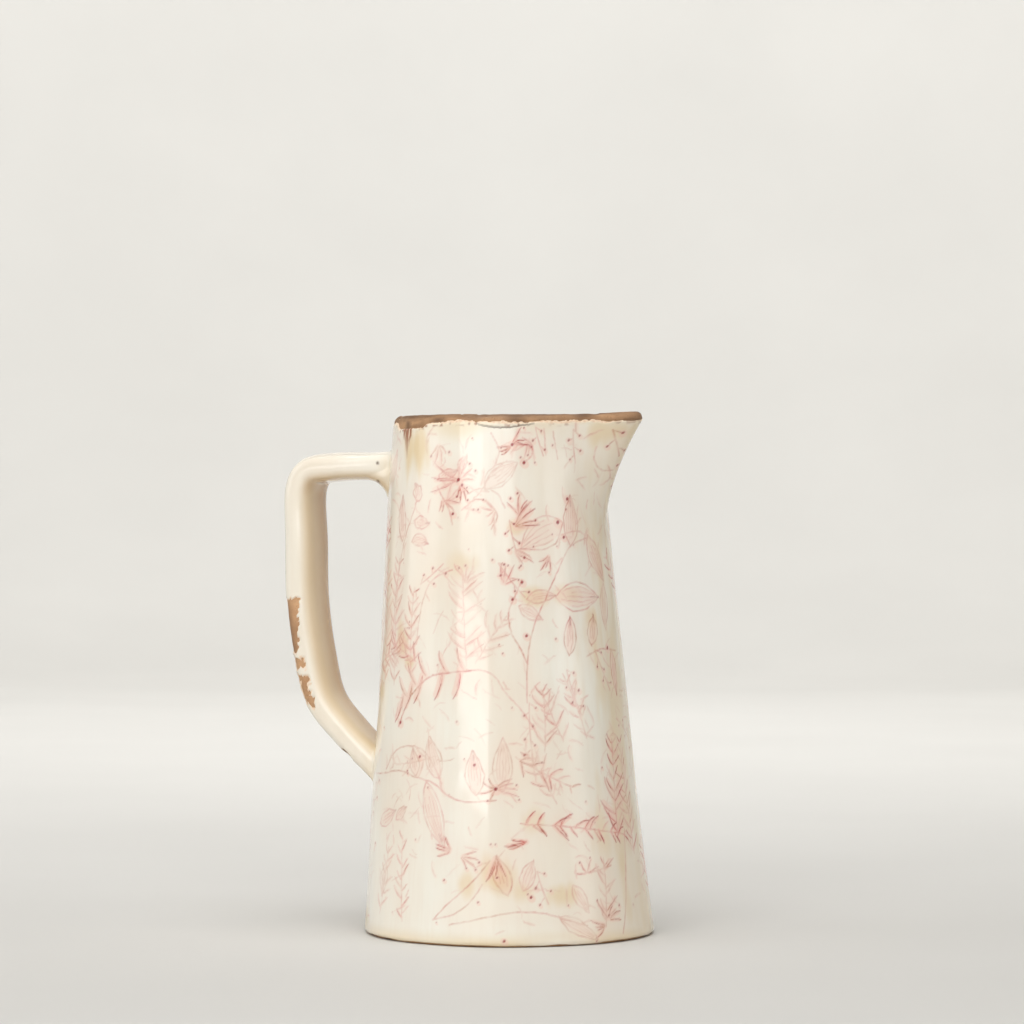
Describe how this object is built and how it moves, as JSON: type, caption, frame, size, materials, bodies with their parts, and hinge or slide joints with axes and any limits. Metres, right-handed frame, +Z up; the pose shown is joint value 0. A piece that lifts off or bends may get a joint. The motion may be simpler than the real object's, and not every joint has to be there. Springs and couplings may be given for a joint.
{
  "type": "pitcher",
  "caption": "Tall tapering glazed ceramic pitcher with a pulled pouring lip at the rim and a strap handle.",
  "frame": {"origin": "middle of the flat foot, on the surface the pitcher stands on", "axes": "+Z up, +X from the body toward the pouring spout with the handle toward -X, +Y across"},
  "size_m": [0.182, 0.1394, 0.25],
  "materials": {
    "clay": "matte fired clay",
    "slip": "matte fired slip",
    "outer_glaze": "gloss",
    "inner_glaze": "gloss"
  },
  "bodies": {
    "root": {"body_wall": "clay", "floor_disc": "clay", "handle": "clay", "upper_slip_joint": "slip", "lower_slip_joint": "slip", "body_glaze": "outer_glaze", "handle_glaze": "outer_glaze", "liner_glaze": "inner_glaze"}
  },
  "joints": []
}
